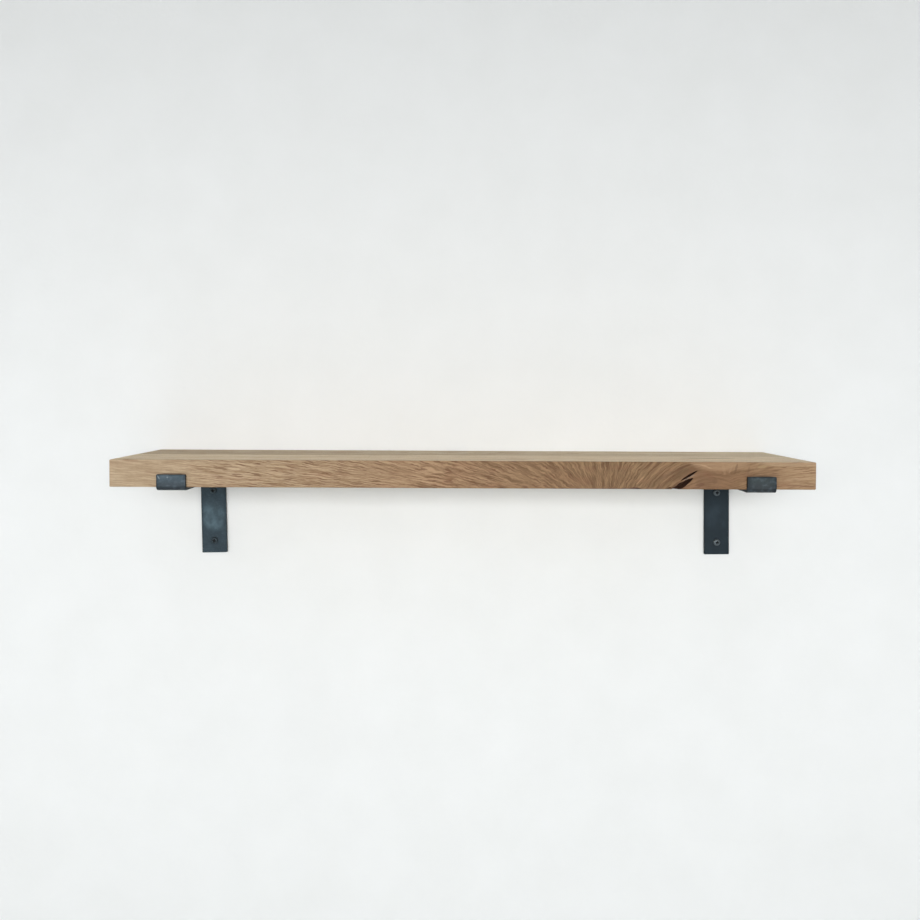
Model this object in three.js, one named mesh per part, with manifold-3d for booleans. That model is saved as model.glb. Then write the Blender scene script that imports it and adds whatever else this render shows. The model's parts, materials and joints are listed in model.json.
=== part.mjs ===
// A wall shelf: an oak board, glued up from two staves, that rests on two brackets bent from flat steel
// bar. Short screws hold the board down from below, and each bracket hangs on two screws in wall plugs.
//
// Millimetres. +X runs along the shelf to the right, +Y goes into the wall and +Z is up. The wall's
// surface is the plane y = 0. The origin is on the board's back face, halfway up its edge and halfway
// between the two brackets.

import * as THREE from "three";
import { mergeVertices } from "three/addons/utils/BufferGeometryUtils.js";
import Module from "manifold-3d";

const wasm = await Module();
wasm.setup();

// ---- Driving dimensions ----

const board = {
  length: 900,
  depth: 200,
  thickness: 35,
  centreX: -4.5, // the board sits a little to the left of the middle of its brackets
  arris: 1.5, // radius of the eased long edges
};

const bar = {
  width: 37,
  thickness: 4,
  bendInside: 2, // inner radius of both bends
};

const bracket = {
  spacing: 750, // between the two brackets' centres
  legDrop: 118, // from the board's underside down to the leg's lower end
  legLeans: { left: 1.3, right: 0.65 }, // degrees to the right: the bends are a little out of square
  lipRise: 16.5, // from the board's underside up to the lip's top edge
  lipGap: 0.5, // between the board's front face and the lip
  wallHoleDrops: [25.5, 100], // from the board's underside down to each hole in the leg
  wallHoleRadius: 3,
  armHoleDistances: [45, 155], // from the wall to each hole in the arm
  armHoleRadius: 2.4,
};

const wallScrew = {
  headRadius: 5,
  headHeight: 3.2,
  shankRadius: 2.25,
  length: 50,
  recessSpan: 5,
  recessWidth: 1.3,
  recessDepth: 2,
};

const boardScrew = {
  headRadius: 4,
  headHeight: 2.6,
  shankRadius: 1.8,
  length: 25,
  recessSpan: 4,
  recessWidth: 1.1,
  recessDepth: 1.7,
};

const wallPlug = {
  radius: 4,
  length: 40,
  setBack: 3, // the plug is pushed in below the wall's surface
  slotWidth: 1.2,
  collarLength: 10, // the unsplit end, nearest the room
};

// Two open cracks beside a knot, each a leaf shape on the board's front face, given as [x, z].
const cracks = [
  { root: [272.4, -6.4], tip: [294, 6.6], width: 3.2, depth: 6 },
  { root: [256.4, -22.5], tip: [288.8, -2.8], width: 7.2, depth: 8 },
];

const RIM_SHARE = 0.35; // of a screw head's height, below its dome
const DOME_STEPS = 4;
const POINT_LENGTH = 3; // a screw's point, in shank radii
const CLEARANCE = 0.3; // between a screw and the hole that it bites into
const DRILL_POINT = 1; // how much deeper a pilot hole goes than its screw
const OVERSHOOT = 2; // how far a cutting tool reaches past the face that it cuts
const CURVE_DIVISIONS = 4; // a quarter bend has twice as many flat steps
const ROUND_SEGMENTS = 24; // flat steps round a hole or a screw
const WELD_DISTANCE = 1e-4; // vertices closer than this are one

// ---- Levels and planes that follow from them ----

const boardLeft = board.centreX - board.length / 2;
const jointY = -board.depth / 2;
const armTop = -board.thickness / 2;
const armUnderside = armTop - bar.thickness;
const bendOutside = bar.bendInside + bar.thickness;
const lipInside = -board.depth - bracket.lipGap;
const lipOutside = lipInside - bar.thickness;
const lipTop = armTop + bracket.lipRise;
const legTop = armTop - bendOutside;
const legEnd = armTop - bracket.legDrop;

const X_AXIS = new THREE.Vector3(1, 0, 0);
const Y_AXIS = new THREE.Vector3(0, 1, 0);
const Z_AXIS = new THREE.Vector3(0, 0, 1);
const QUARTER = Math.PI / 2;

// ---- Materials ----

const materials = {
  frontOak: new THREE.MeshStandardMaterial({ color: 0xa98a6b, roughness: 0.62, metalness: 0 }),
  backOak: new THREE.MeshStandardMaterial({ color: 0x9c8164, roughness: 0.62, metalness: 0 }),
  blackenedSteel: new THREE.MeshStandardMaterial({ color: 0x3d4950, roughness: 0.5, metalness: 0.8 }),
  screwSteel: new THREE.MeshStandardMaterial({ color: 0x5a646a, roughness: 0.4, metalness: 0.9 }),
  nylon: new THREE.MeshStandardMaterial({ color: 0x9a9a96, roughness: 0.7, metalness: 0 }),
};

// ---- Solids ----

/** Makes a solid for joining and cutting from a closed geometry. */
function toSolid(geometry) {
  geometry.deleteAttribute("normal");
  geometry.deleteAttribute("uv");
  const merged = mergeVertices(geometry, WELD_DISTANCE);
  return new wasm.Manifold(
    new wasm.Mesh({
      numProp: 3,
      vertProperties: new Float32Array(merged.attributes.position.array),
      triVerts: new Uint32Array(merged.index.array),
    }),
  );
}

/** Makes a geometry from a solid. */
function toGeometry(solid) {
  const mesh = solid.getMesh();
  const geometry = new THREE.BufferGeometry();
  geometry.setAttribute("position", new THREE.BufferAttribute(mesh.vertProperties, 3));
  geometry.setIndex(new THREE.BufferAttribute(mesh.triVerts, 1));
  geometry.computeVertexNormals();
  return geometry;
}

/** Takes a list of solids away from a solid. */
function cut(solid, tools) {
  return tools.reduce((rest, tool) => rest.subtract(tool), solid);
}

/** Extrudes an outline drawn in (y, z) along +X, starting at x. */
function extrudeAlongX(outline, x, length) {
  const geometry = new THREE.ExtrudeGeometry(outline, {
    depth: length,
    bevelEnabled: false,
    curveSegments: CURVE_DIVISIONS,
  });
  geometry.applyMatrix4(new THREE.Matrix4().makeBasis(Y_AXIS, Z_AXIS, X_AXIS));
  geometry.translate(x, 0, 0);
  return geometry;
}

/** Extrudes an outline drawn in (x, z) towards the viewer, along -Y, starting at y. */
function extrudeForward(outline, y, length) {
  const geometry = new THREE.ExtrudeGeometry(outline, {
    depth: length,
    bevelEnabled: false,
    curveSegments: CURVE_DIVISIONS,
  });
  const viewerAxis = Y_AXIS.clone().negate();
  geometry.applyMatrix4(new THREE.Matrix4().makeBasis(X_AXIS, Z_AXIS, viewerAxis));
  geometry.translate(0, y, 0);
  return geometry;
}

/** A round hole's tool along Y, from one y to another. */
function drillAlongY(radius, x, z, fromY, toY) {
  const geometry = new THREE.CylinderGeometry(radius, radius, toY - fromY, ROUND_SEGMENTS);
  geometry.translate(x, (fromY + toY) / 2, z);
  return toSolid(geometry);
}

/** A round hole's tool along Z, from one z to another. */
function drillAlongZ(radius, x, y, fromZ, toZ) {
  const geometry = new THREE.CylinderGeometry(radius, radius, toZ - fromZ, ROUND_SEGMENTS);
  geometry.rotateX(QUARTER);
  geometry.translate(x, y, (fromZ + toZ) / 2);
  return toSolid(geometry);
}

// ---- The board ----

/** A stave's section in (y, z): square at the glue joint, with eased edges on its outer side. */
function staveOutline(jointSide, outerSide) {
  const inward = Math.sign(jointSide - outerSide);
  const half = board.thickness / 2;
  const roundY = outerSide + inward * board.arris;
  const roundZ = half - board.arris;
  const outward = inward > 0 ? Math.PI : 0;
  const clockwise = inward < 0;
  const outline = new THREE.Shape();
  outline.moveTo(jointSide, -half);
  outline.lineTo(jointSide, half);
  outline.lineTo(roundY, half);
  outline.absarc(roundY, roundZ, board.arris, QUARTER, outward, clockwise);
  outline.lineTo(outerSide, -roundZ);
  outline.absarc(roundY, -roundZ, board.arris, outward, outward + inward * QUARTER, clockwise);
  outline.closePath();
  return outline;
}

/** A leaf shape in (x, z), pointed at its root and its tip and widest halfway between them. */
function leafOutline({ root, tip, width }) {
  const start = new THREE.Vector2(...root);
  const end = new THREE.Vector2(...tip);
  const middle = start.clone().add(end).multiplyScalar(0.5);
  const across = end.clone().sub(start).rotateAround(new THREE.Vector2(), QUARTER).setLength(width);
  const outline = new THREE.Shape();
  outline.moveTo(start.x, start.y);
  outline.quadraticCurveTo(middle.x - across.x, middle.y - across.y, end.x, end.y);
  outline.quadraticCurveTo(middle.x + across.x, middle.y + across.y, start.x, start.y);
  return outline;
}

/** The cracks, cut back from the board's front face. */
function crackTools() {
  return cracks.map((crack) => {
    const length = crack.depth + OVERSHOOT;
    return toSolid(extrudeForward(leafOutline(crack), -board.depth + crack.depth, length));
  });
}

/** The pilot holes for the board screws that go into the stave between two y values. */
function pilotHoles(fromY, toY) {
  const radius = boardScrew.shankRadius + CLEARANCE;
  const top = armUnderside + boardScrew.length + DRILL_POINT;
  const inStave = bracket.armHoleDistances.filter((d) => -d > fromY && -d < toY);
  return [-1, 1].flatMap((side) =>
    inStave.map((d) =>
      drillAlongZ(radius, (side * bracket.spacing) / 2, -d, armTop - OVERSHOOT, top),
    ),
  );
}

function frontStave() {
  const outline = staveOutline(jointY, -board.depth);
  const stave = toSolid(extrudeAlongX(outline, boardLeft, board.length));
  return toGeometry(cut(stave, [...crackTools(), ...pilotHoles(-board.depth, jointY)]));
}

function backStave() {
  const stave = toSolid(extrudeAlongX(staveOutline(jointY, 0), boardLeft, board.length));
  return toGeometry(cut(stave, pilotHoles(jointY, 0)));
}

// ---- The brackets ----

/** The bent bar's side view in (y, z): down the wall, out under the board and up in front of it. */
function bracketOutline() {
  const outline = new THREE.Shape();
  const inside = bar.bendInside;
  const frontBendY = lipOutside + bendOutside;
  outline.moveTo(0, legEnd);
  outline.lineTo(0, legTop);
  outline.absarc(-bendOutside, legTop, bendOutside, 0, QUARTER, false);
  outline.lineTo(frontBendY, armTop);
  outline.absarc(frontBendY, armTop + inside, inside, -QUARTER, -Math.PI, true);
  outline.lineTo(lipInside, lipTop);
  outline.lineTo(lipOutside, lipTop);
  outline.lineTo(lipOutside, armUnderside + bendOutside);
  outline.absarc(frontBendY, armUnderside + bendOutside, bendOutside, Math.PI, 3 * QUARTER, false);
  outline.lineTo(-bendOutside, armUnderside);
  outline.absarc(-bendOutside, legTop, inside, QUARTER, 0, true);
  outline.lineTo(-bar.thickness, legEnd);
  outline.closePath();
  return outline;
}

/** How far to the right the middle of a leg that leans by a slope is at a height. */
function leanAt(z, slope) {
  return (legTop - z) * slope;
}

/** Swings the leg's square lower end to the right, in the plane of the wall. */
function leanLeg(geometry, slope) {
  const position = geometry.attributes.position;
  for (let i = 0; i < position.count; i++) {
    const x = position.getX(i);
    const atLowerEnd = position.getZ(i) < (legTop + legEnd) / 2;
    if (atLowerEnd) {
      position.setX(i, x + leanAt(legEnd, slope));
      position.setZ(i, legEnd + x * slope);
    }
  }
  return geometry;
}

/** One bracket, centred on x = 0, with its holes for the wall and for the board. */
function bentBracket(slope) {
  const square = extrudeAlongX(bracketOutline(), -bar.width / 2, bar.width);
  const bent = toSolid(leanLeg(square, slope));
  const wallHoles = bracket.wallHoleDrops.map((drop) => {
    const z = armTop - drop;
    const x = leanAt(z, slope);
    return drillAlongY(bracket.wallHoleRadius, x, z, -bar.thickness - OVERSHOOT, OVERSHOOT);
  });
  const armHoles = bracket.armHoleDistances.map((distance) =>
    drillAlongZ(bracket.armHoleRadius, 0, -distance, armUnderside - OVERSHOOT, armTop + OVERSHOOT),
  );
  return toGeometry(cut(bent, [...wallHoles, ...armHoles]));
}

// ---- The fasteners ----

/** Turns a closed outline of [radius, y] points around the Y axis. */
function turn(outline) {
  const points = outline.map(([radius, y]) => new THREE.Vector2(radius, y));
  return toSolid(new THREE.LatheGeometry(points, ROUND_SEGMENTS));
}

/** A domed screw that drives along +Y, with the underside of its head at y = 0 and a cross recess. */
function panHeadScrew(screw) {
  const rim = screw.headHeight * RIM_SHARE;
  const dome = Array.from({ length: DOME_STEPS + 1 }, (_, step) => {
    const angle = (QUARTER * step) / DOME_STEPS;
    return [screw.headRadius * Math.sin(angle), -rim - (screw.headHeight - rim) * Math.cos(angle)];
  });
  const taperStart = screw.length - screw.shankRadius * POINT_LENGTH;
  const body = turn([
    ...dome,
    [screw.headRadius, 0],
    [screw.shankRadius, 0],
    [screw.shankRadius, taperStart],
    [0, screw.length],
  ]);
  const wings = [
    [screw.recessSpan, screw.recessWidth],
    [screw.recessWidth, screw.recessSpan],
  ].map(([width, height]) => {
    const wing = new THREE.BoxGeometry(width, 2 * screw.recessDepth, height);
    wing.translate(0, -screw.headHeight, 0);
    return toSolid(wing);
  });
  return toGeometry(cut(body, wings));
}

/** A split tube along +Y, with its open end at y = 0. */
function expandingPlug() {
  const bore = wallScrew.shankRadius + CLEARANCE;
  const tube = turn([
    [bore, 0],
    [wallPlug.radius, 0],
    [wallPlug.radius, wallPlug.length],
    [bore, wallPlug.length],
    [bore, 0],
  ]);
  const slotLength = wallPlug.length - wallPlug.collarLength + OVERSHOOT;
  const slot = new THREE.BoxGeometry(wallPlug.slotWidth, slotLength, 2 * (wallPlug.radius + OVERSHOOT));
  slot.translate(0, wallPlug.collarLength + slotLength / 2, 0);
  return toGeometry(cut(tube, [toSolid(slot)]));
}

// ---- The shelf ----

const shelf = new THREE.Group();

/** Adds one named piece to a group at a place. */
function addPiece(group, name, geometry, material, place = [0, 0, 0]) {
  const piece = new THREE.Mesh(geometry, material);
  piece.name = name;
  piece.position.set(...place);
  group.add(piece);
  return piece;
}

/** Adds a bracket with the screws and plugs that go with it. */
function addBracket(side, x) {
  const group = new THREE.Group();
  group.position.x = x;
  shelf.add(group);
  const slope = Math.tan(THREE.MathUtils.degToRad(bracket.legLeans[side]));
  addPiece(group, `${side}_bracket`, bentBracket(slope), materials.blackenedSteel);
  ["upper", "lower"].forEach((level, index) => {
    const z = armTop - bracket.wallHoleDrops[index];
    const screwPlace = [leanAt(z, slope), -bar.thickness, z];
    const plugPlace = [leanAt(z, slope), wallPlug.setBack, z];
    const name = `${side}_${level}_wall`;
    addPiece(group, `${name}_screw`, panHeadScrew(wallScrew), materials.screwSteel, screwPlace);
    addPiece(group, `${name}_plug`, expandingPlug(), materials.nylon, plugPlace);
  });
  ["back", "front"].forEach((row, index) => {
    const place = [0, -bracket.armHoleDistances[index], armUnderside];
    const name = `${side}_${row}_board_screw`;
    const screw = addPiece(group, name, panHeadScrew(boardScrew), materials.screwSteel, place);
    screw.rotation.x = QUARTER; // points the screw up
  });
}

addPiece(shelf, "front_stave", frontStave(), materials.frontOak);
addPiece(shelf, "back_stave", backStave(), materials.backOak);
addBracket("left", -bracket.spacing / 2);
addBracket("right", bracket.spacing / 2);

export default shelf;
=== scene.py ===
"""Gives the oak wall shelf its looks: fine meshes, oak, blackened steel, a pale wall and soft light.

Metres. +X runs along the shelf to the right, +Y goes into the wall, +Z is up, and the wall is y = 0.
"""

import json
import math
import random

import bmesh
import bpy
from mathutils import Matrix, Vector, noise

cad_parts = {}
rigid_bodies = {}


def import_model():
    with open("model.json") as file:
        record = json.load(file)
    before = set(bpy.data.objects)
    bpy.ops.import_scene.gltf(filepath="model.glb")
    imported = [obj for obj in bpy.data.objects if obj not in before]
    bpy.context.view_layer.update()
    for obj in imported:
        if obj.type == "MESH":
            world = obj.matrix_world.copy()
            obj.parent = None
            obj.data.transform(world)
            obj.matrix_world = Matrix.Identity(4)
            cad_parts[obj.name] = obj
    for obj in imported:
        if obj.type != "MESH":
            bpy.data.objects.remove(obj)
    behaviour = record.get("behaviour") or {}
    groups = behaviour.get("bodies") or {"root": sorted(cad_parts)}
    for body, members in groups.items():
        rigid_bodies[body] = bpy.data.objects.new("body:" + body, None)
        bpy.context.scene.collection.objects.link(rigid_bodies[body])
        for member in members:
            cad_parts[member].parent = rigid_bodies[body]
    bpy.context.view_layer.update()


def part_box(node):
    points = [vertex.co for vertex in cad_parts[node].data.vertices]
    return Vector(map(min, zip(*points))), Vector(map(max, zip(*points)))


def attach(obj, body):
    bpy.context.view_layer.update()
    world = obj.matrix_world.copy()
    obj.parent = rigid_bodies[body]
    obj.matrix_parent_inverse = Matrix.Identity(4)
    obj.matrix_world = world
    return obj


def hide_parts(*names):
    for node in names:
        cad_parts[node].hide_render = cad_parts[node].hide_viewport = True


for leftover in list(bpy.data.objects):
    bpy.data.objects.remove(leftover)
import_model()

MM = 0.001
SIDES = ("left", "right")


# ---------------------------------------------------------------- sizes read from the frame

front_low, front_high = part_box("front_stave")
back_low, back_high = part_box("back_stave")
BOARD_LEFT, BOARD_RIGHT = front_low.x, front_high.x
BOARD_FRONT, BOARD_BACK = front_low.y, back_high.y
BOARD_UNDER, BOARD_TOP = front_low.z, front_high.z
JOINT_Y = front_high.y


def node_centre(node):
    low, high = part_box(node)
    return (low + high) / 2


BRACKET_X = {side: node_centre(f"{side}_front_board_screw").x for side in SIDES}


def lean_slope(side):
    """How far a leg swings to the right for each metre that it goes down."""
    upper, lower = (node_centre(f"{side}_{level}_wall_screw") for level in ("upper", "lower"))
    return (lower.x - upper.x) / (upper.z - lower.z)


LEAN_SLOPE = {side: lean_slope(side) for side in SIDES}

bracket_low, bracket_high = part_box("left_bracket")
LIP_TOP = bracket_high.z
LIP_OUTSIDE = bracket_low.y
BAR_WIDTH = 2 * (BRACKET_X["left"] - bracket_low.x)
BAR_THICKNESS = 4 * MM
BEND_INSIDE = 2 * MM
BEND_MIDDLE = BEND_INSIDE + BAR_THICKNESS / 2
BEND_OUTSIDE = BEND_INSIDE + BAR_THICKNESS
LEG_TOP = BOARD_UNDER - BEND_OUTSIDE
LEG_END = bracket_low.z + BAR_WIDTH / 2 * LEAN_SLOPE["left"]


# ---------------------------------------------------------------- mesh helpers

def finished(mesh_builder, name, material, sharp=35):
    """Makes an object from a bmesh, smooth except along edges sharper than an angle in degrees."""
    mesh = bpy.data.meshes.new(name)
    mesh_builder.to_mesh(mesh)
    mesh_builder.free()
    mesh.materials.append(material)
    piece = bpy.data.objects.new(name, mesh)
    bpy.context.scene.collection.objects.link(piece)
    smooth(piece, sharp)
    return piece


def smooth(piece, sharp):
    """Smooths a piece's shading, keeping sharp edges and large flat faces as they are."""
    piece.data.polygons.foreach_set("use_smooth", [True] * len(piece.data.polygons))
    piece.data.set_sharp_from_angle(angle=math.radians(sharp))
    weighted = piece.modifiers.new("weighted", "WEIGHTED_NORMAL")
    weighted.keep_sharp = True
    apply_modifiers(piece)


def apply_modifiers(piece):
    """Bakes a piece's modifiers into its mesh."""
    graph = bpy.context.evaluated_depsgraph_get()
    mesh = bpy.data.meshes.new_from_object(piece.evaluated_get(graph))
    piece.modifiers.clear()
    piece.data = mesh


def carve(piece, cutters):
    """Cuts closed meshes out of a piece. The cut faces take the cutters' material."""
    for cutter in cutters:
        difference = piece.modifiers.new("cut", "BOOLEAN")
        difference.object = cutter
        difference.operation = "DIFFERENCE"
        difference.solver = "EXACT"
        difference.material_mode = "TRANSFER"
    apply_modifiers(piece)
    for cutter in cutters:
        bpy.data.objects.remove(cutter)


def skin(rings, close_ends=True):
    """Joins rings of points, all with the same count, into one closed mesh."""
    builder = bmesh.new()
    verts = [[builder.verts.new(point) for point in ring] for ring in rings]
    count = len(verts[0])
    for ring, following in zip(verts, verts[1:]):
        for i in range(count):
            j = (i + 1) % count
            builder.faces.new((ring[i], ring[j], following[j], following[i]))
    if close_ends:
        builder.faces.new(reversed(verts[0]))
        builder.faces.new(verts[-1])
    else:
        for i in range(count):
            j = (i + 1) % count
            builder.faces.new((verts[-1][i], verts[-1][j], verts[0][j], verts[0][i]))
    bmesh.ops.recalc_face_normals(builder, faces=builder.faces)
    return builder


def circle(radius, y, count, wobble=None):
    """A ring of points round the Y axis. wobble gives each angle's own radius."""
    angles = [math.tau * i / count for i in range(count)]
    radii = [wobble(angle) if wobble else radius for angle in angles]
    return [(r * math.cos(a), y, r * math.sin(a)) for r, a in zip(radii, angles)]


# ---------------------------------------------------------------- node helpers

def linear(red, green, blue):
    """A colour as shaders want it, from its 0 to 255 screen values."""
    def one(value):
        share = value / 255
        return share / 12.92 if share <= 0.04045 else ((share + 0.055) / 1.055) ** 2.4
    return (one(red), one(green), one(blue), 1.0)


class Graph:
    """Writes a material's node graph. Each method adds a node and gives back its output."""

    def __init__(self, name):
        self.material = bpy.data.materials.new(name)
        self.material.use_nodes = True
        self.tree = self.material.node_tree
        self.shader = self.tree.nodes["Principled BSDF"]
        self.output = self.tree.nodes["Material Output"]

    def node(self, kind, inputs, output=0, **settings):
        made = self.tree.nodes.new("ShaderNode" + kind)
        for setting, value in settings.items():
            setattr(made, setting, value)
        for socket, value in inputs.items():
            self.feed(made.inputs[socket], value)
        return made.outputs[output]

    def feed(self, socket, value):
        if isinstance(value, bpy.types.NodeSocket):
            self.tree.links.new(value, socket)
        else:
            socket.default_value = value

    def set(self, **inputs):
        """Sets the Principled shader's inputs, with spaces written as underscores."""
        for name, value in inputs.items():
            self.feed(self.shader.inputs[name.replace("_", " ")], value)

    def math(self, operation, *values):
        return self.node("Math", dict(enumerate(values)), operation=operation)

    def add(self, *values):
        total = values[0]
        for value in values[1:]:
            total = self.math("ADD", total, value)
        return total

    def times(self, *values):
        product = values[0]
        for value in values[1:]:
            product = self.math("MULTIPLY", product, value)
        return product

    def less(self, a, b):
        return self.math("SUBTRACT", a, b)

    def place_mm(self):
        """The x, y and z of the shaded point on the model, in millimetres."""
        place = self.node("TexCoord", {}, output="Object")
        scaled = self.node("VectorMath", {0: place, "Scale": 1 / MM}, operation="SCALE")
        split = self.tree.nodes.new("ShaderNodeSeparateXYZ")
        self.feed(split.inputs[0], scaled)
        return split.outputs

    def point(self, x, y, z=0.0):
        return self.node("CombineXYZ", {0: x, 1: y, 2: z})

    def noise(self, x, y, z=0.0, detail=2.0, rough=0.5):
        """Cloudy noise from 0 to 1 with features about one unit across."""
        inputs = {"Vector": self.point(x, y, z), "Scale": 1.0, "Detail": detail, "Roughness": rough}
        return self.node("TexNoise", inputs)

    def clouds(self, place, sizes, *seed, detail=2.0, rough=0.5):
        """Noise with features about as large, in each direction, as sizes says."""
        scaled = [self.times(value, 1 / size) for value, size in zip(place, sizes)]
        return self.noise(*scaled, *seed, detail=detail, rough=rough)

    def step(self, value, low, high, to_low=0.0, to_high=1.0):
        """A smooth step as value goes from low to high."""
        inputs = {"Value": value, "From Min": low, "From Max": high,
                  "To Min": to_low, "To Max": to_high}
        return self.node("MapRange", inputs, interpolation_type="SMOOTHSTEP")

    def blend(self, share, a, b):
        """A number between a and b."""
        return self.node("Mix", {0: share, 2: a, 3: b}, data_type="FLOAT")

    def mix(self, share, a, b):
        """A colour between a and b."""
        made = self.tree.nodes.new("ShaderNodeMix")
        made.data_type = "RGBA"
        for socket, value in ((0, share), (6, a), (7, b)):
            self.feed(made.inputs[socket], value)
        return made.outputs[2]

    def ramp(self, value, stops):
        """A colour from a list of (position, colour) stops."""
        made = self.tree.nodes.new("ShaderNodeValToRGB")
        elements = made.color_ramp.elements
        for place, colour in stops[2:]:
            elements.new(place)
        for element, (place, colour) in zip(elements, stops):
            element.position = place
            element.color = colour
        self.feed(made.inputs[0], value)
        return made.outputs[0]

    def bump(self, height, distance):
        """Raises the surface by distance, in metres, where height is 1."""
        return self.node("Bump", {"Height": height, "Distance": distance, "Strength": 1.0})

    def polar(self, x, z, centre_x, centre_z):
        """The angle and the distance of (x, z) from a centre."""
        across, up = self.less(x, centre_x), self.less(z, centre_z)
        distance = self.math("SQRT", self.add(self.times(across, across), self.times(up, up)))
        return self.math("ARCTAN2", up, across), distance


# ---------------------------------------------------------------- oak

RED = linear(138, 94, 64)
RUST = linear(104, 66, 40)
BARK = linear(92, 66, 44)
SOOT = linear(66, 50, 38)
# Front face tones from the board's left end to its right end. Their darkening to the right is partly the
# browner wood round the knot and partly painted light that falls off towards the right.
FACE_LIGHT = [(0.0, linear(196, 173, 143)), (0.25, linear(188, 163, 129)), (0.45, linear(176, 143, 107)),
              (0.62, linear(154, 121, 84)), (0.75, linear(146, 115, 78)), (0.87, linear(141, 106, 70)),
              (1.0, linear(187, 156, 120))]
FACE_DARK = [(0.0, linear(154, 129, 98)), (0.25, linear(132, 101, 70)), (0.45, linear(116, 84, 54)),
             (0.62, linear(98, 68, 40)), (0.75, linear(88, 61, 34)), (0.87, linear(102, 72, 43)),
             (1.0, linear(134, 102, 70))]
# Tones of the front stave's other faces. Their pale, greyish top is partly the oak's own tone and partly
# painted light and sheen.
TOP_LIGHT = [(0.0, linear(214, 194, 161)), (1.0, linear(214, 194, 162))]
TOP_DARK = [(0.0, linear(178, 155, 121)), (1.0, linear(174, 151, 118))]
BACK_LIGHT = [(0.0, linear(176, 155, 122)), (1.0, linear(198, 180, 149))]
BACK_DARK = [(0.0, linear(136, 113, 82)), (1.0, linear(162, 141, 109))]


FRONT_STAINS = (  # dark mineral streaks on the top: centre (x, y), half length, half width, strength
    ((325, -133), 46, 6, 0.5),
)
BACK_STAINS = (
    ((-12, -8), 20, 8, 0.45),
    ((-98, -102), 50, 3, 0.35),
)


def oak(name, pith, tones, stains, figured=False):
    """Oiled oak. pith is the tree's middle as (y, z) in mm. Figured oak has the knot in its front face."""
    g = Graph(name)
    x, y, z = g.place_mm()
    along = g.node("MapRange", {"Value": x, "From Min": BOARD_LEFT / MM, "From Max": BOARD_RIGHT / MM})
    grain, dash = straight_grain(g, x, y, z, pith)
    colour = g.mix(grain, *[g.ramp(along, tone) for tone in tones])
    blush = g.clouds((x, y, z), (40, 30, 9), detail=2.0)
    blush = g.step(blush, 0.5, 0.8, 0.0, 0.3)
    if figured:
        on_face = g.step(y, BOARD_FRONT / MM + 2.5, BOARD_FRONT / MM + 0.8)
        face_grain, flecks, face_dash = face_figure(g, x, z)
        face_colour = g.mix(face_grain, g.ramp(along, FACE_LIGHT), g.ramp(along, FACE_DARK))
        face_colour = g.mix(flecks, face_colour, RUST)
        colour = g.mix(on_face, colour, knot_marks(g, x, z, face_colour))
        grain = g.blend(on_face, grain, face_grain)
        dash = g.blend(on_face, dash, face_dash)
    for centre, half_length, half_width, strength in stains:
        stain = g.times(streak(g, x, y, centre, half_length, half_width, 0), g.step(z, 10, 14), strength)
        colour = g.mix(stain, colour, SOOT)
    colour = g.mix(blush, colour, RED)
    pore = g.step(dash, 0.6, 0.74)
    colour = g.mix(g.times(pore, 0.4), colour, BARK)
    colour = g.mix(end_grain(g), colour, BARK)

    height = g.less(g.times(grain, 0.3), pore)
    g.set(Base_Color=colour, Roughness=g.add(0.54, g.times(grain, 0.1), g.times(pore, 0.15)),
          Normal=g.bump(height, 0.08 * MM))
    g.shader.inputs["IOR"].default_value = 1.42
    return g.material


def straight_grain(g, x, y, z, pith):
    """Growth rings round the pith, wandering slowly along the board, with open pores in them."""
    drift_y = g.less(g.clouds((x, y), (260, 90), 3.0), 0.5)
    drift_z = g.less(g.clouds((x, z), (190, 60), 7.0), 0.5)
    ring_y = g.add(g.less(y, pith[0]), g.times(drift_y, 42))
    ring_z = g.add(g.less(z, pith[1]), g.times(drift_z, 26))
    radius = g.math("SQRT", g.add(g.times(ring_y, ring_y), g.times(ring_z, ring_z)))
    ripple = g.clouds((x, y, z), (30, 4, 4))
    years = g.add(g.times(radius, 1 / 3.1), g.times(g.clouds((radius,), (11,), 0.0), 2.5), ripple)
    season = g.math("FRACT", years)
    early = g.times(g.step(season, 0.0, 0.15), g.step(season, 0.7, 0.25))
    fibre = g.clouds((x, y, z), (45, 0.9, 0.9), detail=3.0, rough=0.65)
    patch = g.clouds((x, y, z), (160, 12, 12), detail=2.0)
    grain = g.add(g.times(early, 0.3), g.times(fibre, 0.5), g.times(patch, 0.5))
    dash = g.clouds((x, y, z), (4, 0.45, 0.45), detail=1.0)
    return g.step(grain, 0.3, 0.95), g.add(dash, g.times(early, 0.06))


def end_grain(g):
    """How much darker the sawn ends are, from 0 to 1."""
    facing = g.node("SeparateXYZ", {0: g.node("NewGeometry", {}, output="Normal")})
    return g.step(g.math("ABSOLUTE", facing), 0.6, 0.9, 0.0, 0.3)


FAN_FOCUS = (178, -47)
RING_CENTRE = (312, -68)
KNOT_CENTRE = (303, -5)
FAN_BANDS = (  # stripes per radian and their length in mm, near the focus, farther out and farthest
    (32, 26),
    (84, 36),
    (280, 44),
)
BAND_EDGES = ((85, 140), (200, 320))


def rays(g, angle, distance, count, length, seed):
    """Stripes that spread from a focus, and the short dark flecks and fine pores along them."""
    stripes = g.noise(g.times(angle, count), g.times(distance, 1 / length), seed, detail=5.0, rough=0.66)
    flecks = g.noise(g.times(angle, count * 1.3), g.times(distance, 2 / length), seed + 1, detail=3.0)
    pores = g.noise(g.times(angle, count * 8), g.times(distance, 7 / length), seed, detail=1.0)
    return stripes, flecks, pores


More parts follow.
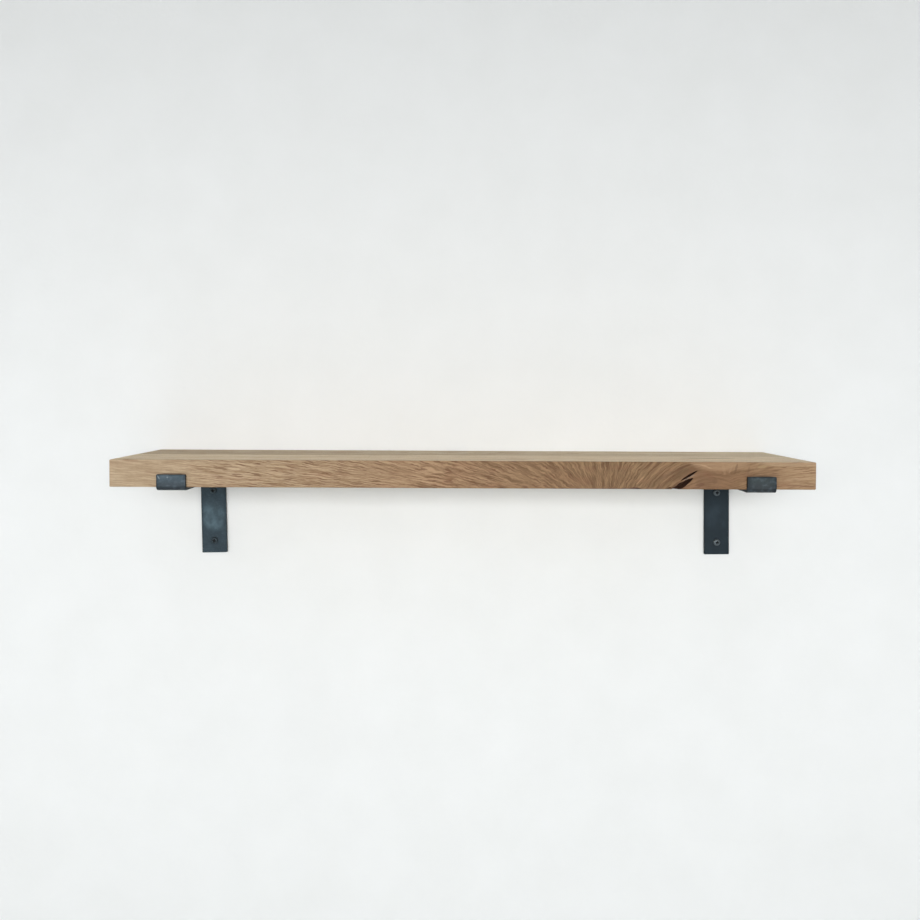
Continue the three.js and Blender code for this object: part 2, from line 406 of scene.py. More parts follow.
def face_figure(g, x, z):
    """The grain, flecks and pores that swing round the knot on the board's front face."""
    sway = g.less(g.clouds((x, z), (22, 12), 2.0, detail=3.0), 0.5)
    wobble = g.less(g.clouds((x, z), (6, 6), 5.0, detail=2.0), 0.5)

    # everything left of the knot fans out of one focus below the board
    angle, distance = g.polar(x, z, *FAN_FOCUS)
    aside = g.add(g.times(sway, g.step(x, -420, 0, 2.5, 6.5)),
                  g.times(wobble, g.step(x, -100, 100, 1.0, 4.0)))
    angle = g.add(angle, g.math("DIVIDE", aside, distance))
    fan = rays(g, angle, distance, *FAN_BANDS[0], 0.0)
    for (count, length), (inner, outer) in zip(FAN_BANDS[1:], BAND_EDGES):
        share = g.step(distance, inner, outer)
        wider = rays(g, angle, distance, count, length, float(count))
        fan = [g.blend(share, near, far) for near, far in zip(fan, wider)]

    # broad arcs sweep up to the cracks
    turn, ring = g.polar(x, z, *RING_CENTRE)
    ring = g.add(ring, g.times(sway, 4), g.times(wobble, 2.5))
    arcs = rays(g, ring, g.times(turn, 40), 1 / 2.6, 34, 3.0)

    # right of the knot the grain rises and flattens towards the end
    climb = g.times(g.math("EXPONENT", g.times(g.less(340, x), 1 / 55)), -20)
    level = g.add(g.less(z, climb), g.times(sway, 4), g.times(wobble, 1.5))
    rising = rays(g, level, x, 1 / 2.3, 50, 8.0)

    past_fan, past_knot = g.step(x, 205, 240), g.step(x, 310, 350)
    mixed = [g.blend(past_knot, g.blend(past_fan, a, b), c) for a, b, c in zip(fan, arcs, rising)]
    stripes, flecks, pores = mixed
    bold = g.add(g.step(x, -440, -300, 0.6, 1.0), g.step(x, 160, 220, 0.0, 0.3),
                 g.step(x, 300, 400, 0.0, -0.8))
    grain = g.add(0.42, g.times(g.less(g.step(stripes, 0.36, 0.64), 0.5), bold))
    streaked = g.times(g.step(x, -400, -260, 0.15, 1.0), g.step(x, 190, 80, 0.5, 0.75))
    return grain, g.times(g.step(flecks, 0.53, 0.62), streaked), pores


def streak(g, x, z, centre, half_length, half_width, tilt):
    """A soft-edged spindle from 0 to 1, tilted in degrees."""
    turn = math.radians(tilt)
    across, up = g.less(x, centre[0]), g.less(z, centre[1])
    run = g.add(g.times(across, math.cos(turn)), g.times(up, math.sin(turn)))
    rise = g.less(g.times(up, math.cos(turn)), g.times(across, math.sin(turn)))
    run, rise = g.times(run, 1 / half_length), g.times(rise, 1 / half_width)
    return g.step(g.add(g.times(run, run), g.times(rise, rise)), 1.0, 0.3)


MARKS = (  # soft streaks on the front face: centre, half length, half width, tilt, strength, colour
    ((322, 17), 46, 13.0, -2, 0.5, linear(178, 146, 112)),
    ((303, -5), 14, 13.0, 0, 0.35, linear(108, 76, 48)),
    ((292, 14.6), 9, 1.1, -8, 0.3, linear(190, 158, 124)),
    ((304, 11.8), 10, 1.3, -18, 0.5, linear(192, 158, 122)),
    ((283, -2.2), 10, 1.3, 27, 0.75, linear(136, 116, 100)),
    ((275, 3), 12, 5.0, 33, 0.4, linear(100, 80, 50)),
    ((297, -11.5), 8, 2.4, 12, 0.7, linear(104, 68, 44)),
    ((316, -7), 5, 4.0, 90, 0.35, linear(104, 72, 46)),
    ((308, 1), 9, 5.0, -30, 0.3, linear(128, 86, 58)),
    ((214, -16.4), 9, 1.3, 0, 0.8, linear(88, 54, 38)),
    ((221, -6), 9, 1.0, 45, 0.6, linear(186, 146, 106)),
    ((241, -7), 16, 5.0, 48, 0.35, linear(100, 76, 46)),
    ((327, 9), 10, 2.4, 104, 0.25, linear(172, 138, 104)),
    ((336, 8), 7, 1.6, 66, 0.28, linear(174, 140, 106)),
    ((343, 9.5), 8, 1.8, 74, 0.45, linear(98, 70, 46)),
    ((359, 7), 6, 2.2, 80, 0.3, linear(104, 74, 50)),
    ((376, 15.2), 6, 1.2, 4, 0.5, linear(100, 78, 48)),
    ((376, 11.5), 8, 1.8, 8, 0.4, linear(182, 156, 114)),
    ((420, 16), 60, 5.0, 0, 0.4, linear(194, 166, 132)),
    ((425, -12.5), 28, 1.7, -3, 0.4, linear(112, 74, 50)),
    ((430, 11), 18, 1.5, 2, 0.3, linear(122, 88, 60)),
    # Painted shadow: dark lines on the front face just above the two brackets' lips.
    ((-375, -0.4), 19, 1.5, 0, 0.55, linear(84, 66, 52)),
    ((375, -0.4), 19, 1.5, 0, 0.55, linear(74, 56, 42)),
    ((424, -4), 26, 2.8, 5, 0.35, linear(184, 154, 120)),
    ((262, 4), 26, 3.0, 27, 0.4, linear(96, 68, 44)),
)


def knot_marks(g, x, z, colour):
    """The knot's smooth red heart, the streaks round it, and the painted shadow lines above the lips."""
    sway = g.less(g.clouds((x, z), (6, 6), 4.0, detail=2.0), 0.5)
    heart = streak(g, x, z, KNOT_CENTRE, 46, 24, 4)
    colour = g.mix(g.times(heart, 0.5), colour, linear(132, 98, 68))
    for centre, half_length, half_width, tilt, strength, tone in MARKS:
        mark = streak(g, x, g.add(z, g.times(sway, 2.5)), centre, half_length, half_width, tilt)
        colour = g.mix(g.times(mark, strength), colour, tone)
    return colour


# ---------------------------------------------------------------- steel, nylon and plaster

BRIGHT = linear(140, 150, 154)
LEFT_LIP_SCRATCHES = (  # centre (x, z), half length, half width and tilt
    ((-390.5, -4.6), 3.2, 0.8, -62),
    ((-379.3, -4.5), 1.2, 0.9, 0),
)


def blackened_steel(side, leg, lip, rubbed, edge, scratches=()):
    """Waxed black mill scale on flat bar: cloudy blue-grey and darker towards the bar's long edges, with
    painted shade that darkens the leg and the lip's foot, and a painted shadow line along the lip's top.
    """
    g = Graph(f"{side}_steel")
    x, y, z = g.place_mm()
    middle = g.add(BRACKET_X[side] / MM, lean_mm(g, z, LEAN_SLOPE[side]))
    cloud = g.clouds((x, y, z), (26, 40, 30), detail=3.0, rough=0.55)
    speck = g.clouds((x, y, z), (2.2, 2.2, 2.2), detail=4.0, rough=0.6)
    # Painted shade: the leg, which is under the shelf, gets a darker colour than the lip.
    colour = g.mix(g.step(y, -12, -150), leg, lip)
    patch = streak(g, z, g.less(x, middle), (-82, 0), 24, 20, 0)
    patch = g.times(patch, g.step(y, -12, -5), g.step(cloud, 0.35, 0.62, 0.25, 0.9))
    colour = g.mix(patch, colour, rubbed)
    on_lip = g.step(y, -150, -190)
    # Painted shade: the lip darkens towards its bend at the bottom, where it curves under the board.
    colour = g.mix(g.times(on_lip, g.step(z, -4, -16, 0.0, 0.6)), colour, linear(56, 59, 63))
    # Partly painted contact shadow and partly the steel's dark edge: a dark line along the lip's top,
    # against the board.
    colour = g.mix(g.times(on_lip, g.step(z, LIP_TOP / MM - 2.5, LIP_TOP / MM, 0.0, 0.7)), colour, edge)
    from_middle = g.math("ABSOLUTE", g.less(x, middle))
    rim = g.step(g.add(from_middle, g.times(speck, 3)), 15, 21)
    colour = g.mix(g.times(rim, 0.7), colour, edge)
    blotch = g.clouds((x, y, z), (9, 9, 6), detail=3.0)
    worn = g.mix(on_lip, rubbed, linear(100, 112, 122))
    colour = g.mix(g.times(g.step(blotch, 0.45, 0.7), g.blend(on_lip, 0.15, 0.4)), colour, worn)
    colour = g.mix(g.step(cloud, 0.62, 0.36, 0.0, 0.35), colour, edge)
    colour = g.mix(g.step(speck, 0.45, 0.8, 0.0, 0.3), colour, rubbed)
    scratch = g.clouds((g.add(x, z), g.less(x, z)), (0.5, 26), y, detail=1.0)
    colour = g.mix(g.step(scratch, 0.73, 0.78, 0.0, 0.2), colour, BRIGHT)
    for centre, half_length, half_width, tilt in scratches:
        mark = g.times(streak(g, x, z, centre, half_length, half_width, tilt), on_lip)
        colour = g.mix(g.times(mark, 0.65), colour, BRIGHT)
    g.set(Base_Color=colour, Metallic=0.75,
          Roughness=g.add(0.5, g.times(speck, 0.15)), Normal=g.bump(speck, 0.04 * MM))
    return g.material


def lean_mm(g, z, slope):
    """How far a leaning leg has moved to the right at a height, in millimetres."""
    return g.math("MAXIMUM", g.times(g.less(LEG_TOP / MM, z), slope), 0.0)


def screw_steel():
    """Blackened screw steel, rubbed a little brighter on the high spots and on the right bracket."""
    g = Graph("screw_steel")
    x, y, z = g.place_mm()
    mark = g.clouds((x, y, z), (0.8, 0.8, 0.8), detail=2.0)
    dull = g.mix(g.step(x, -50, 50), linear(48, 57, 62), linear(78, 88, 93))
    worn = g.mix(g.step(x, -50, 50), linear(80, 92, 98), linear(124, 134, 139))
    g.set(Base_Color=g.mix(mark, dull, worn), Metallic=0.8,
          Roughness=g.add(0.4, g.times(mark, 0.2)), Normal=g.bump(mark, 0.01 * MM))
    return g.material


def screw_recess():
    """The blackened bottom of a cross recess."""
    g = Graph("screw_recess")
    x, y, z = g.place_mm()
    grime = g.clouds((x, y, z), (0.8, 0.8, 0.8), detail=2.0)
    g.set(Base_Color=g.mix(grime, linear(16, 19, 21), linear(38, 44, 48)), Metallic=0.5,
          Roughness=g.add(0.55, g.times(grime, 0.2)))
    return g.material


def nylon():
    g = Graph("nylon")
    x, y, z = g.place_mm()
    mould = g.clouds((x, y, z), (2, 2, 2), detail=2.0)
    g.set(Base_Color=g.mix(mould, linear(150, 152, 152), linear(164, 166, 165)),
          Roughness=g.add(0.5, g.times(mould, 0.1)), Normal=g.bump(mould, 0.02 * MM))
    return g.material


def split_wood():
    """The dark inside of the cracks."""
    g = Graph("split_wood")
    x, y, z = g.place_mm()
    along = g.clouds((g.add(x, z), g.less(x, z), y), (6, 1.2, 3), detail=3.0)
    g.set(Base_Color=g.mix(along, linear(30, 19, 13), linear(86, 59, 45)), Roughness=0.85,
          Normal=g.bump(along, 0.4 * MM))
    g.shader.inputs["Specular IOR Level"].default_value = 0.1
    return g.material


OAK_FRONT = oak("front_oak", (-262, -118), (TOP_LIGHT, TOP_DARK), FRONT_STAINS, figured=True)
OAK_BACK = oak("back_oak", (-42, 66), (BACK_LIGHT, BACK_DARK), BACK_STAINS)
# Each leg colour is darker than its lip colour, as painted shade under the shelf.
STEEL = {
    "left": blackened_steel("left", leg=linear(50, 63, 71), lip=linear(70, 83, 91),
                            rubbed=linear(84, 104, 113), edge=linear(38, 46, 51),
                            scratches=LEFT_LIP_SCRATCHES),
    "right": blackened_steel("right", leg=linear(37, 48, 55), lip=linear(64, 72, 73),
                             rubbed=linear(44, 56, 64), edge=linear(32, 40, 45)),
}
SCREW_STEEL = screw_steel()
SCREW_RECESS = screw_recess()
NYLON = nylon()
SPLIT = split_wood()


# ---------------------------------------------------------------- the board

ARRIS = 1.4 * MM
JOINT_EASE = 0.12 * MM
CRACK_STEPS = 16
CRACK_SECTION = ((0.0, 1.0), (0.5, 0.62), (1.0, 0.12))  # share of the depth, share of the width
CRACKS = (  # root and tip as (x, z), width and depth, in mm: two open cracks and two chips
    ((272.4, -6.4), (294, 6.6), 3.2, 6.0),
    ((256.4, -22.5), (288.8, -2.8), 7.2, 8.0),
    ((254.5, -17.2), (260.5, -14.4), 1.6, 1.5),
    ((206, -18.8), (221, -16.6), 2.0, 2.0),
)


def crack_cutter(root, tip, width, depth):
    """A leaf-shaped wedge with ragged sides that narrows towards its bottom."""
    start, end = Vector((root[0], 0, root[1])), Vector((tip[0], 0, tip[1]))
    run = end - start
    across = Vector((-run.z, 0, run.x)).normalized()
    levels = [(-2, 1.0)] + [(depth * down, narrow) for down, narrow in CRACK_SECTION]
    shares = [i / CRACK_STEPS for i in range(CRACK_STEPS + 1)]

    def side(share, sign, narrow):
        swell = math.sin(math.pi * share)
        ragged = 0.12 * width * noise.noise(Vector((share * 7 + sign * 3, width, 0)))
        half = max(0.02, width / 2 * swell ** 0.8 + ragged * swell)
        return start + run * share + across * sign * half * narrow

    rings = []
    for deep, narrow in levels:
        outline = [side(share, 1, narrow) for share in shares]
        outline += [side(share, -1, narrow) for share in reversed(shares[1:-1])]
        rings.append([(p.x * MM, BOARD_FRONT + deep * MM, p.z * MM) for p in outline])
    return finished(skin(rings), "crack_cutter", SPLIT, sharp=60)


def stave(node, material, low, high, outer_y):
    """A stave with eased outer edges and a hairline at the glue joint."""
    builder = bmesh.new()
    bmesh.ops.create_cube(builder, size=1)
    size, middle = high - low, (low + high) / 2
    bmesh.ops.transform(builder, matrix=Matrix.Translation(middle) @ Matrix.Diagonal((*size, 1)),
                        verts=builder.verts)

    def on(edge, axis, value):
        return all(abs(v.co[axis] - value) < 1e-6 for v in edge.verts)

    def bevel(edges, width, segments):
        bmesh.ops.bevel(builder, geom=edges, offset=width, segments=segments, profile=0.5,
                        affect="EDGES", clamp_overlap=True)

    joint = [e for e in builder.edges if on(e, 1, JOINT_Y)]
    outer = [e for e in builder.edges if on(e, 1, outer_y)]
    ends = [e for e in builder.edges if e not in joint and e not in outer
            and (on(e, 0, low.x) or on(e, 0, high.x))]
    bevel(outer + ends, ARRIS, 4)
    bevel([e for e in builder.edges if on(e, 1, JOINT_Y)], JOINT_EASE, 1)
    piece = finished(builder, f"{node}_look", material)
    piece.data.materials.append(SPLIT)
    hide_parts(node)
    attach(piece, "root")
    return piece


front_stave = stave("front_stave", OAK_FRONT, front_low, front_high, BOARD_FRONT)
carve(front_stave, [crack_cutter(*crack) for crack in CRACKS])
smooth(front_stave, 35)
stave("back_stave", OAK_BACK, back_low, back_high, BOARD_BACK)


# ---------------------------------------------------------------- the brackets

LIP_INSIDE = LIP_OUTSIDE + BAR_THICKNESS
LEG_LENGTH = LEG_TOP - LEG_END
BEND_LENGTH = BEND_MIDDLE * math.pi / 2
ARM_LENGTH = -BEND_OUTSIDE - (LIP_INSIDE + BEND_INSIDE)
LIP_LENGTH = LIP_TOP - (BOARD_UNDER + BEND_INSIDE)
BAR_LENGTH = LEG_LENGTH + ARM_LENGTH + LIP_LENGTH + 2 * BEND_LENGTH
BAR_CORNER = 1.2 * MM
BAR_EASE = 0.45 * MM
CORNER_STEPS = 6
BEND_STEPS = 12
HOLE_EASE = 0.35 * MM
WALL_HOLE_RADIUS = 3 * MM
ARM_HOLE_RADIUS = 2.4 * MM


def bent(point):
    """Where a point of the flat bar, (across, along, up), lands once the bar is bent."""
    x, s, n = point
    if s <= LEG_LENGTH:
        return Vector((x, n - BAR_THICKNESS / 2, LEG_END + s))
    s -= LEG_LENGTH
    if s <= BEND_LENGTH:
        angle = s / BEND_MIDDLE
        reach = BEND_MIDDLE + n
        return Vector((x, -BEND_OUTSIDE + reach * math.cos(angle),
                       BOARD_UNDER - BEND_OUTSIDE + reach * math.sin(angle)))
    s -= BEND_LENGTH
    if s <= ARM_LENGTH:
        return Vector((x, -BEND_OUTSIDE - s, BOARD_UNDER - BAR_THICKNESS / 2 + n))
    s -= ARM_LENGTH
    if s <= BEND_LENGTH:
        angle = s / BEND_MIDDLE
        reach = BEND_MIDDLE - n
        return Vector((x, LIP_INSIDE + BEND_INSIDE - reach * math.sin(angle),
                       BOARD_UNDER + BEND_INSIDE - reach * math.cos(angle)))
    s -= BEND_LENGTH
    return Vector((x, LIP_INSIDE - BAR_THICKNESS / 2 + n, BOARD_UNDER + BEND_INSIDE + s))


def leaning(point, slope):
    """Moves a point of an upright leg to where it is on a leg that leans to the right."""
    drop = max(0.0, LEG_TOP - point.z)
    swing = point.x * slope * drop / LEG_LENGTH
    return point + Vector((drop * slope, 0, swing))


def hole_cutter(radius, along):
    """A drill for the flat bar, with its two edges eased."""
    half, ease, over = BAR_THICKNESS / 2, HOLE_EASE, 1 * MM
    outline = [(radius + ease + over, -half - over), (radius + ease, -half), (radius, -half + ease),
               (radius, half - ease), (radius + ease, half), (radius + ease + over, half + over)]
    rings = [circle(r, n, 48) for r, n in outline]
    cutter = finished(skin(rings), "hole_cutter", SPLIT)
    cutter.data.transform(Matrix.Translation((0, along, 0)) @ Matrix.Rotation(math.pi / 2, 4, "X"))
    return cutter


def flat_bar(name, material):
    """The bar before it is bent: rounded corners and eased edges."""
    builder = bmesh.new()
    half = BAR_WIDTH / 2 - BAR_CORNER
    corners = [(half, BAR_CORNER, -90), (half, BAR_LENGTH - BAR_CORNER, 0),
               (-half, BAR_LENGTH - BAR_CORNER, 90), (-half, BAR_CORNER, 180)]
    outline = []
    for x, s, start in corners:
        for step in range(CORNER_STEPS + 1):
            angle = math.radians(start + 90 * step / CORNER_STEPS)
            outline.append((x + BAR_CORNER * math.cos(angle), s + BAR_CORNER * math.sin(angle)))
    bottom = [builder.verts.new((x, s, -BAR_THICKNESS / 2)) for x, s in outline]
    face = builder.faces.new(bottom)
    top = bmesh.ops.extrude_face_region(builder, geom=[face])["geom"]
    top_verts = [v for v in top if isinstance(v, bmesh.types.BMVert)]
    bmesh.ops.translate(builder, vec=(0, 0, BAR_THICKNESS), verts=top_verts)
    bmesh.ops.recalc_face_normals(builder, faces=builder.faces)
    rims = [e for e in builder.edges if abs(e.verts[0].co.z - e.verts[1].co.z) < 1e-9]
    bmesh.ops.bevel(builder, geom=rims, offset=BAR_EASE, segments=3, profile=0.5, affect="EDGES")
    return finished(builder, name, material)


def bracket(side):
    """One bracket: the flat bar, drilled, bent and put in its place."""
    piece = flat_bar(f"{side}_bracket_look", STEEL[side])
    wall_along = [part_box(f"{side}_{level}_wall_screw") for level in ("lower", "upper")]
    arm_along = [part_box(f"{side}_{row}_board_screw") for row in ("back", "front")]
    cutters = [hole_cutter(WALL_HOLE_RADIUS, (low.z + high.z) / 2 - LEG_END) for low, high in wall_along]
    arm_start = LEG_LENGTH + BEND_LENGTH - BEND_OUTSIDE
    cutters += [hole_cutter(ARM_HOLE_RADIUS, arm_start - (low.y + high.y) / 2) for low, high in arm_along]
    carve(piece, cutters)
    builder = bmesh.new()
    builder.from_mesh(piece.data)
    for start in (LEG_LENGTH, LEG_LENGTH + BEND_LENGTH + ARM_LENGTH):
        for step in range(BEND_STEPS + 1):
            everything = builder.verts[:] + builder.edges[:] + builder.faces[:]
            along = start + BEND_LENGTH * step / BEND_STEPS
            bmesh.ops.bisect_plane(builder, geom=everything, plane_co=(0, along, 0), plane_no=(0, 1, 0))
    for vert in builder.verts:
        vert.co = leaning(bent(vert.co), LEAN_SLOPE[side])
        vert.co.x += BRACKET_X[side]
    bmesh.ops.recalc_face_normals(builder, faces=builder.faces)
    builder.to_mesh(piece.data)
    builder.free()
    smooth(piece, 32)
    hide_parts(f"{side}_bracket")
    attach(piece, "root")


for bracket_side in SIDES:
    bracket(bracket_side)


# ---------------------------------------------------------------- screws and plugs

WALL_SCREW = {  # radii of the head, the thread's crest and its root, and the other sizes, in mm
    "head": 5.0, "rise": 3.2, "crest": 2.5, "root": 1.75, "length": 50, "pitch": 2.2, "cross": 5.4,
}
BOARD_SCREW = {
    "head": 4.0, "rise": 2.6, "crest": 2.0, "root": 1.4, "length": 25, "pitch": 1.8, "cross": 3.9,
}
SCREW_SIDES = 28
DOME_STEPS = 8
RIM_SHARE = 0.32  # of a head's height, below its dome
RINGS_PER_TURN = 8
POINT_LENGTH = 9
PLUG_RADIUS, PLUG_BORE, PLUG_LENGTH = 4.0, 2.62, 40.0
PLUG_SIDES = 32
RIB_ROOT, RIB_PITCH = 3.45, 3.2


def screw_mesh(name, size):
    """A pan head screw along +Y with the underside of its head at y = 0, in millimetres."""
    rings = [circle(0.05, -size["rise"], SCREW_SIDES)]
    rim = RIM_SHARE * size["rise"]
    for step in range(1, DOME_STEPS + 1):
        angle = math.pi / 2 * step / DOME_STEPS
        rise = rim + (size["rise"] - rim) * math.cos(angle) ** 0.9
        rings.append(circle(size["head"] * math.sin(angle), -rise, SCREW_SIDES))
    rings.append(circle(size["head"], -0.15, SCREW_SIDES))
    rings.append(circle(size["head"] - 0.15, 0, SCREW_SIDES))
    taper = size["length"] - POINT_LENGTH
    y = 0.0
    while y < size["length"] - 0.1:
        shrink = 1 if y < taper else max(0.03, 1 - (y - taper) / POINT_LENGTH)
        grown = min(1.0, y / 2)

        def thread(angle, y=y, shrink=shrink, grown=grown):
            phase = (y / size["pitch"] - angle / math.tau) % 1
            crest = max(0.0, 1 - abs(phase - 0.5) / 0.3)
            return shrink * (size["root"] + grown * crest * (size["crest"] - size["root"]))

        rings.append(circle(0, y, SCREW_SIDES, thread))
        y += size["pitch"] / RINGS_PER_TURN
    rings.append(circle(0.02, size["length"], SCREW_SIDES))
    piece = finished(skin(rings), name, SCREW_STEEL, sharp=50)
    carve(piece, [cross_wing(size, turned) for turned in (False, True)])
    return piece


def cross_wing(size, turned):
    """One wing of the cross recess: a bar that narrows with depth."""
    deep = size["rise"] * 0.68
    rings = []
    for y, span, width in ((-size["rise"] - 1, 1.15, 1.7), (-size["rise"] + deep, 0.62, 1.0)):
        a, b = size["cross"] / 2 * span, 0.62 * width
        corners = [(a, b), (-a, b), (-a, -b), (a, -b)]
        rings.append([(z, y, x) if turned else (x, y, z) for x, z in corners])
    return finished(skin(rings), "cross_wing", SCREW_RECESS, sharp=30)


def add_screw(node, size, turn, place):
    """Puts a screw in its place, turned so that it points the right way."""
    piece = screw_mesh(f"{node}_look", size)
    piece.data.transform(Matrix.Translation(place) @ turn @ Matrix.Scale(MM, 4))
    smooth(piece, 40)
    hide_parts(node)
    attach(piece, "root")


def plug_slot(turned):
    """One of the two saw cuts that let a plug spread."""
    half, reach = 0.6, PLUG_RADIUS + 2
    corners = [(half, reach), (-half, reach), (-half, -reach), (half, -reach)]
    rings = [[(z, y, x) if turned else (x, y, z) for x, z in corners] for y in (10.0, PLUG_LENGTH + 2)]
    return finished(skin(rings), "slot", NYLON)


def add_plug(node, place):
    """A ribbed, split nylon plug along +Y."""
    outline = [(PLUG_BORE, 0), (3.6, 0), (PLUG_RADIUS, 0.4), (PLUG_RADIUS, 7.0)]
    y = 8.0
    while y < PLUG_LENGTH - 3:
        outline += [(RIB_ROOT, y), (PLUG_RADIUS, y + 1.6), (PLUG_RADIUS, y + 2.0), (RIB_ROOT, y + 2.4)]
        y += RIB_PITCH
    outline += [(3.4, PLUG_LENGTH - 1), (3.1, PLUG_LENGTH), (PLUG_BORE, PLUG_LENGTH)]
    rings = [circle(radius, y, PLUG_SIDES) for radius, y in outline]
    piece = finished(skin(rings, close_ends=False), f"{node}_look", NYLON, sharp=40)
    carve(piece, [plug_slot(turned) for turned in (False, True)])
    piece.data.transform(Matrix.Translation(place) @ Matrix.Scale(MM, 4))
    smooth(piece, 40)
    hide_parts(node)
    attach(piece, "root")


draws = random.Random(11)
for side in SIDES:
    for level in ("upper", "lower"):
        centre = node_centre(f"{side}_{level}_wall_screw")
        spin = Matrix.Rotation(draws.uniform(0, math.pi), 4, "Y")
        add_screw(f"{side}_{level}_wall_screw", WALL_SCREW, spin, (centre.x, -BAR_THICKNESS, centre.z))
        plug_low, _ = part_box(f"{side}_{level}_wall_plug")
        add_plug(f"{side}_{level}_wall_plug", (centre.x, plug_low.y, centre.z))
    for row in ("back", "front"):
        centre = node_centre(f"{side}_{row}_board_screw")
        upward = Matrix.Rotation(math.pi / 2, 4, "X") @ Matrix.Rotation(draws.uniform(0, math.pi), 4, "Y")
        place = (centre.x, centre.y, BOARD_UNDER - BAR_THICKNESS)
        add_screw(f"{side}_{row}_board_screw", BOARD_SCREW, upward, place)


# ---------------------------------------------------------------- wall, floor and light

WALL_Y = 0.6 * MM
FLOOR_Z = -1.35
COVE = 0.35
COVE_STEPS = 16
WALL_TOP = 4.0
STAGE_HALF = 30.0
OPENING_MARGIN = 1.2 * MM
OPENING_STEPS = 4  # a leaning leg's opening is stepped


def plaster():
    """Matt white paint that is seen from the room's side only."""
    g = Graph("plaster")
    x, y, z = g.place_mm()
    cloud = g.clouds((x, y, z), (90, 90, 90), detail=4.0)
    g.set(Base_Color=g.mix(cloud, linear(236, 238, 237), linear(244, 246, 246)), Roughness=0.9)
    lump = g.clouds((x, y, z), (7, 7, 7), detail=3.0)
    g.set(Normal=g.bump(lump, 0.25 * MM))
    clear = g.node("BsdfTransparent", {})
    behind = g.node("NewGeometry", {}, output="Backfacing")
    shown = g.node("MixShader", {0: behind, 1: g.shader.outputs[0], 2: clear})
    g.feed(g.output.inputs["Surface"], shown)
    return g.material


def wall_openings():
    """Where the board and the legs cover the wall, so that their backs are lit from behind."""
    margin = OPENING_MARGIN
    board = (BOARD_LEFT + margin, BOARD_RIGHT - margin, BOARD_UNDER + margin, BOARD_TOP - margin)
    half = BAR_WIDTH / 2 - margin
    tall = (LEG_LENGTH - 2 * margin) / OPENING_STEPS
    levels = [LEG_END + margin + step * tall for step in range(OPENING_STEPS + 1)]
    legs = []
    for side in SIDES:
        for low, high in zip(levels, levels[1:]):
            middle = BRACKET_X[side] + LEAN_SLOPE[side] * (LEG_TOP - (low + high) / 2)
            legs.append((middle - half, middle + half, low, high))
    return [board, *legs]


def wall_sheet(builder):
    """The flat wall, in tiles that leave the openings free."""
    openings = wall_openings()
    across = sorted({-STAGE_HALF, STAGE_HALF} | {x for hole in openings for x in hole[:2]})
    upward = sorted({FLOOR_Z + COVE, WALL_TOP} | {z for hole in openings for z in hole[2:]})
    for x0, x1 in zip(across, across[1:]):
        for z0, z1 in zip(upward, upward[1:]):
            x, z = (x0 + x1) / 2, (z0 + z1) / 2
            if any(left < x < right and low < z < high for left, right, low, high in openings):
                continue
            corners = ((x0, z0), (x1, z0), (x1, z1), (x0, z1))
            builder.faces.new([builder.verts.new((a, WALL_Y, b)) for a, b in corners])


def strip(builder, profile):
    """A sheet as wide as the stage that follows a profile of (y, z)."""
    rows = [[builder.verts.new((x, y, z)) for x in (-STAGE_HALF, STAGE_HALF)] for y, z in profile]
    for row, following in zip(rows, rows[1:]):
        builder.faces.new((row[0], following[0], following[1], row[1]))


def backdrop():
    """The wall, a cove and the floor, which carries on behind the wall."""
    profile = []
    for step in range(COVE_STEPS + 1):
        angle = math.pi / 2 * step / COVE_STEPS
        profile.append((WALL_Y - COVE * (1 - math.cos(angle)), FLOOR_Z + COVE * (1 - math.sin(angle))))
    cove_foot = profile[-1]
    builder = bmesh.new()
    wall_sheet(builder)
    strip(builder, profile)
    strip(builder, [(STAGE_HALF, FLOOR_Z), cove_foot, (-STAGE_HALF, FLOOR_Z)])
    bmesh.ops.remove_doubles(builder, verts=builder.verts, dist=0.01 * MM)
    sheet = finished(builder, "backdrop", plaster(), sharp=40)


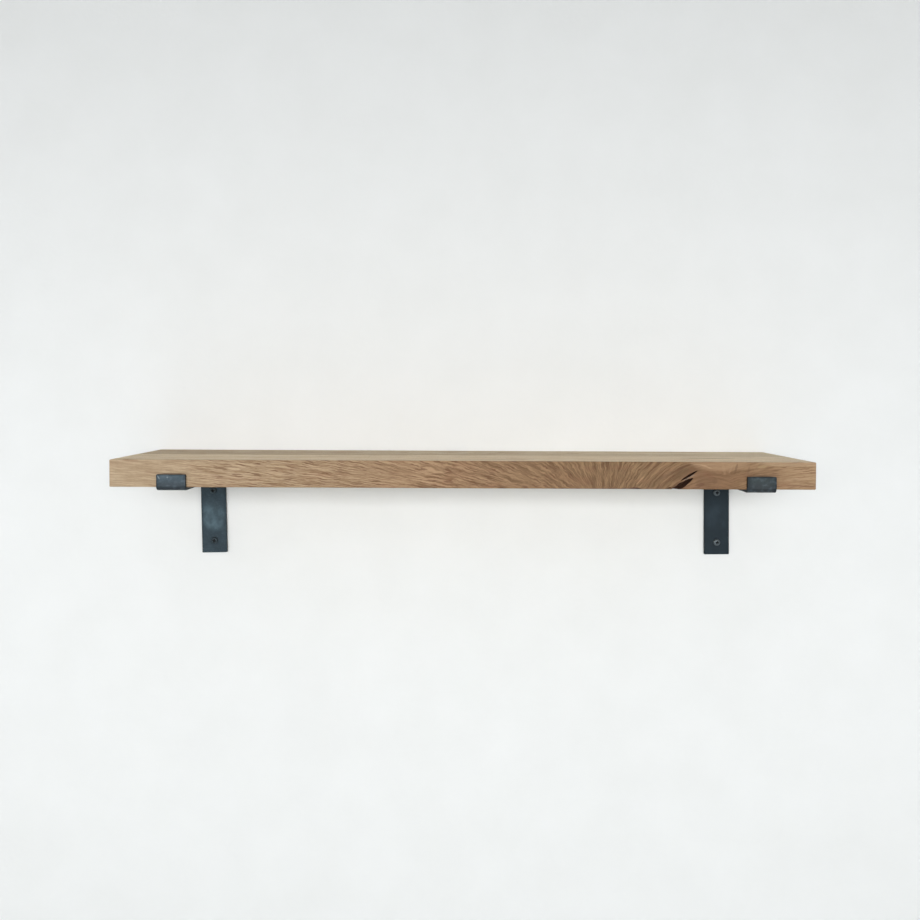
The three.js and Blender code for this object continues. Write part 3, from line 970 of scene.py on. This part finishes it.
def area_light(name, energy, size, place, target, spread):
    """A softbox at a place, aimed at a target. Spread is in degrees."""
    light = bpy.data.lights.new(name, "AREA")
    light.energy = energy
    light.shape = "RECTANGLE"
    light.size, light.size_y = size
    light.spread = math.radians(spread)
    lamp = bpy.data.objects.new(name, light)
    lamp.location = place
    lamp.rotation_euler = (Vector(target) - Vector(place)).to_track_quat("-Z", "Y").to_euler()
    lamp.visible_camera = False
    bpy.context.scene.collection.objects.link(lamp)


def world():
    """A pale tent round the room, brightest near the horizon."""
    made = bpy.data.worlds.new("tent")
    made.use_nodes = True
    nodes, links = made.node_tree.nodes, made.node_tree.links
    direction = nodes.new("ShaderNodeTexCoord")
    split = nodes.new("ShaderNodeSeparateXYZ")
    glow = nodes.new("ShaderNodeMapRange")
    glow.interpolation_type = "SMOOTHSTEP"
    for name, value in (("From Min", 0.0), ("From Max", 0.7), ("To Min", 0.48), ("To Max", 0.39)):
        glow.inputs[name].default_value = value
    links.new(direction.outputs["Generated"], split.inputs[0])
    links.new(split.outputs[2], glow.inputs["Value"])
    links.new(glow.outputs[0], nodes["Background"].inputs["Strength"])
    nodes["Background"].inputs["Color"].default_value = linear(250, 251, 252)
    bpy.context.scene.world = made


backdrop()
world()
area_light("key", energy=19.5, size=(4.4, 0.8), place=(-0.2, -3.3, 0.35), target=(0, 0, -0.28), spread=70)
area_light("ceiling", energy=6.0, size=(3.2, 0.5), place=(0.0, -0.4, 2.6), target=(0, -0.2, 0), spread=120)
area_light("back", energy=16, size=(2.0, 1.6), place=(0.6, 2.6, 1.4), target=(0, 0, 0), spread=180)


# ---------------------------------------------------------------- camera

LENS_MM, SENSOR_MM = 35.45, 36.0
EYE = (-0.0156, -1.3503, 0.1052)
PITCH, YAW, ROLL = math.radians(-1.4), math.radians(-0.314), math.radians(-0.28)
SHIFT_Y = -0.0499

lens = bpy.data.cameras.new("camera")
lens.lens = LENS_MM
lens.sensor_width = SENSOR_MM
lens.shift_y = SHIFT_Y
camera = bpy.data.objects.new("camera", lens)
upright = Matrix.Rotation(math.pi / 2, 4, "X")
aim = Matrix.Rotation(YAW, 4, "Z") @ Matrix.Rotation(PITCH, 4, "X") @ Matrix.Rotation(ROLL, 4, "Y")
camera.matrix_world = Matrix.Translation(EYE) @ aim @ upright
bpy.context.scene.collection.objects.link(camera)
bpy.context.scene.camera = camera
bpy.context.scene.view_settings.view_transform = "Standard"
